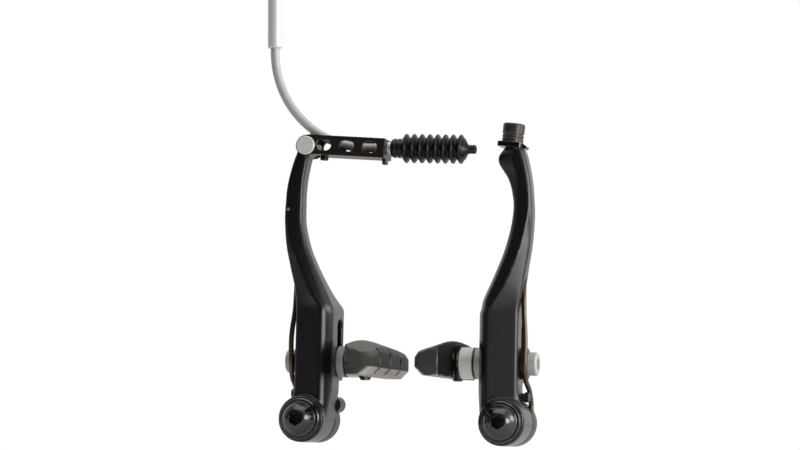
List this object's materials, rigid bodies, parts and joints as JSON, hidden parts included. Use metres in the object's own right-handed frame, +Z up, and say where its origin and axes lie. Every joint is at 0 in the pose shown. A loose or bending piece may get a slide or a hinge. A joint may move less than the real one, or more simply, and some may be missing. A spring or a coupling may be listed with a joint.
{
  "type": "v brake",
  "caption": "Linear-pull bicycle rim brake: curved black arms on frame pivots, brake pads on ball washers, and a bent cable guide pipe with a link and a ribbed rubber boot.",
  "frame": {"origin": "midway between the two pivots, on the plane where the brake meets the bosses of the bicycle frame", "axes": "+X to the right as seen from the front of the brake, +Y along the pivots from the brake to the frame, +Z up along the arms"},
  "size_m": [0.1117, 0.065, 0.1814],
  "materials": {
    "arm_black": "gloss black anodised aluminium",
    "bolt_black": "black oxide steel",
    "link_black": "semi-gloss black steel",
    "bright_steel": "plain bright steel",
    "silver_aluminium": "turned aluminium",
    "dark_steel": "dark zinc steel",
    "spring_wire": "oiled spring steel",
    "pad_rubber": "matt dark grey rubber",
    "boot_rubber": "satin black rubber",
    "holder_plastic": "satin black moulding"
  },
  "bodies": {
    "pivot_posts": {"left_bushing": "bright_steel", "left_pivot_bolt": "bolt_black", "left_pivot_washer": "bolt_black", "left_spring_holder": "holder_plastic", "left_stop_peg": "bright_steel", "left_return_spring": "spring_wire", "right_bushing": "bright_steel", "right_pivot_bolt": "bolt_black", "right_pivot_washer": "bolt_black", "right_spring_holder": "holder_plastic", "right_stop_peg": "bright_steel", "right_return_spring": "spring_wire"},
    "left_arm": {"left_arm": "arm_black", "left_tension_screw": "dark_steel", "link_pin": "bright_steel"},
    "left_pad_seat": {"left_inner_cup_washer": "bright_steel", "left_outer_cup_washer": "dark_steel"},
    "left_pad": {"left_brake_pad": "pad_rubber", "left_pad_post": "bright_steel", "left_pad_nut": "bright_steel", "left_inner_dome_washer": "bright_steel", "left_outer_dome_washer": "dark_steel"},
    "right_arm": {"right_arm": "arm_black", "right_tension_screw": "dark_steel", "clamp_bolt": "bolt_black", "clamp_plate": "bolt_black"},
    "right_pad_seat": {"right_inner_cup_washer": "bright_steel", "right_outer_cup_washer": "dark_steel"},
    "right_pad": {"right_brake_pad": "pad_rubber", "right_pad_post": "bright_steel", "right_pad_nut": "bright_steel", "right_inner_dome_washer": "bright_steel", "right_outer_dome_washer": "dark_steel"},
    "link": {"link": "link_black"},
    "guide_pipe": {"guide_pipe": "bright_steel", "pipe_ferrule": "silver_aluminium", "pipe_tip": "bright_steel", "boot": "boot_rubber"}
  },
  "joints": [
    {"name": "left_arm_pivot", "type": "hinge", "parent": "pivot_posts", "child": "left_arm", "pos_m": [-0.04, -0.01735, 0], "axis": [0, -1, 0], "range_deg": [-1.5, 20], "stiffness_Nm_per_rad": 1, "deforming": ["left_return_spring"]},
    {"name": "left_pad_height", "type": "slide", "parent": "left_arm", "child": "left_pad_seat", "axis": [0, 0, 1], "range_m": [-0.0015, 0.012]},
    {"name": "left_pad_turn", "type": "hinge", "parent": "left_pad_seat", "child": "left_pad", "pos_m": [-0.04, -0.009, 0.023], "axis": [-1, 0, 0], "range_deg": [-15, 15]},
    {"name": "right_arm_pivot", "type": "hinge", "parent": "pivot_posts", "child": "right_arm", "pos_m": [0.04, -0.01735, 0], "axis": [0, 1, 0], "range_deg": [-1.5, 20], "stiffness_Nm_per_rad": 1, "deforming": ["right_return_spring"]},
    {"name": "right_pad_height", "type": "slide", "parent": "right_arm", "child": "right_pad_seat", "axis": [0, 0, 1], "range_m": [-0.0015, 0.012]},
    {"name": "right_pad_turn", "type": "hinge", "parent": "right_pad_seat", "child": "right_pad", "pos_m": [0.04, -0.009, 0.023], "axis": [1, 0, 0], "range_deg": [-15, 15]},
    {"name": "link_pivot", "type": "hinge", "parent": "left_arm", "child": "link", "pos_m": [-0.0417, -0.0155, 0.108], "axis": [0, -1, 0], "range_deg": [-15, 60]},
    {"name": "pipe_swivel", "type": "hinge", "parent": "link", "child": "guide_pipe", "pos_m": [-0.00971, -0.0155, 0.10727], "axis": [0.9997, 0, -0.0227], "range_deg": [-20, 20]}
  ]
}
